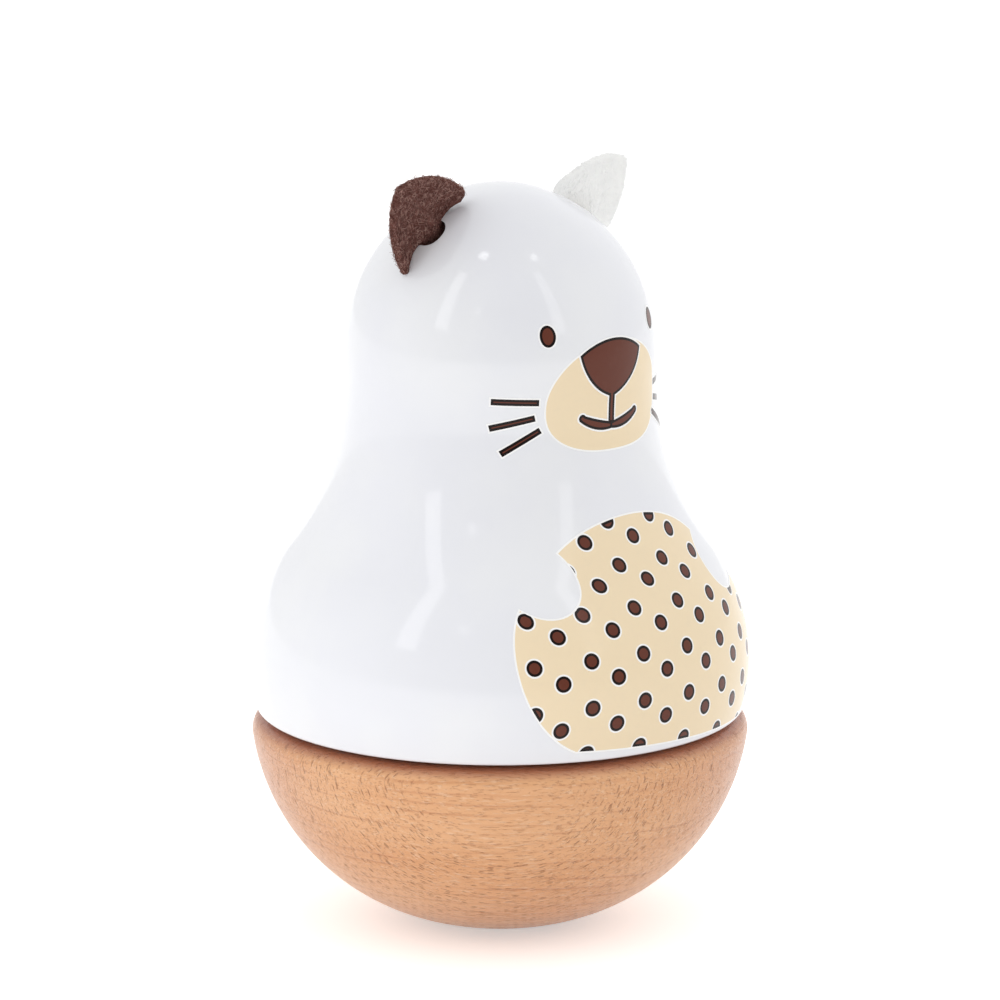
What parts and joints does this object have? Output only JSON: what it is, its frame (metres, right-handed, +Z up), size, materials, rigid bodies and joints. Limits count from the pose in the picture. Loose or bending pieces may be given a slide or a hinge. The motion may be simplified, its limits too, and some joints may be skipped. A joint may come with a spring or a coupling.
{
  "type": "music box",
  "caption": "Wooden roly-poly bear music box: a lacquered figure on a round beech base, wound by turning it on the base, with a pinned cylinder, comb and fan governor inside.",
  "frame": {"origin": "centre of the flat rest face under the base", "axes": "+Z up along the turning axis, the figure's face looks along -Y, its left ear is at +X"},
  "size_m": [0.0896, 0.0896, 0.1381],
  "materials": {
    "beech": "satin",
    "white_lacquer": "gloss",
    "plywood": "matte",
    "brown_felt": "matte",
    "white_felt": "matte",
    "steel": "satin",
    "cast_zinc": "satin",
    "brass": "satin",
    "spring_steel": "satin",
    "nylon": "matte"
  },
  "bodies": {
    "base": {"base_bowl": "beech", "ballast_disc": "steel", "ballast_screw": "steel", "deck": "plywood", "deck_screws": "steel", "thrust_washer": "nylon", "movement_screws": "steel", "bedplate": "cast_zinc", "spring_barrel": "brass", "mainspring": "spring_steel", "comb": "spring_steel", "comb_screws": "steel", "cylinder_bracket": "cast_zinc", "bracket_screw": "steel", "governor_frame": "cast_zinc", "governor_screws": "steel"},
    "figure": {"figure_shell": "white_lacquer", "ear_right": "brown_felt", "ear_left": "white_felt", "drive_disc": "plywood", "winding_arbor": "steel", "arbor_washer": "steel", "arbor_nut": "steel", "great_wheel": "brass", "arbor_clip": "spring_steel"},
    "cylinder": {"music_cylinder": "brass", "cylinder_pins": "brass", "cylinder_arbor": "steel", "cylinder_pinion": "brass", "cylinder_wheel": "brass"},
    "first_wheel_set": {"first_arbor": "steel", "first_pinion": "steel", "first_wheel": "brass"},
    "second_wheel_set": {"second_arbor": "steel", "second_pinion": "steel", "worm_wheel": "brass"},
    "fan_set": {"worm": "steel", "fan": "nylon"}
  },
  "joints": [
    {"name": "figure_turn", "type": "hinge", "parent": "base", "child": "figure", "pos_m": [0, 0, 0.0387], "axis": [0, 0, 1], "range_deg": [-1620, 0]},
    {"name": "cylinder_turn", "type": "hinge", "parent": "base", "child": "cylinder", "pos_m": [0.02, 0, 0.0246], "axis": [1, 0, 0], "range_deg": [-6480, 0]},
    {"name": "first_wheel_turn", "type": "hinge", "parent": "base", "child": "first_wheel_set", "pos_m": [0.02725, -0.00634, 0.02229], "axis": [1, 0, 0], "range_deg": [0, 25920]},
    {"name": "second_wheel_turn", "type": "hinge", "parent": "base", "child": "second_wheel_set", "pos_m": [0.02725, -0.0046, 0.02676], "axis": [1, 0, 0], "range_deg": [-77760, 0]},
    {"name": "fan_spin", "type": "hinge", "parent": "base", "child": "fan_set", "pos_m": [0.0288, 0, 0.02676], "axis": [0, 0, 1], "range_deg": [0, 1866240]}
  ],
  "couplings": [
    {"joint": "cylinder_turn", "follows": "figure_turn", "ratio": 4},
    {"joint": "first_wheel_turn", "follows": "figure_turn", "ratio": -16},
    {"joint": "second_wheel_turn", "follows": "figure_turn", "ratio": 48},
    {"joint": "fan_spin", "follows": "figure_turn", "ratio": -1152}
  ]
}
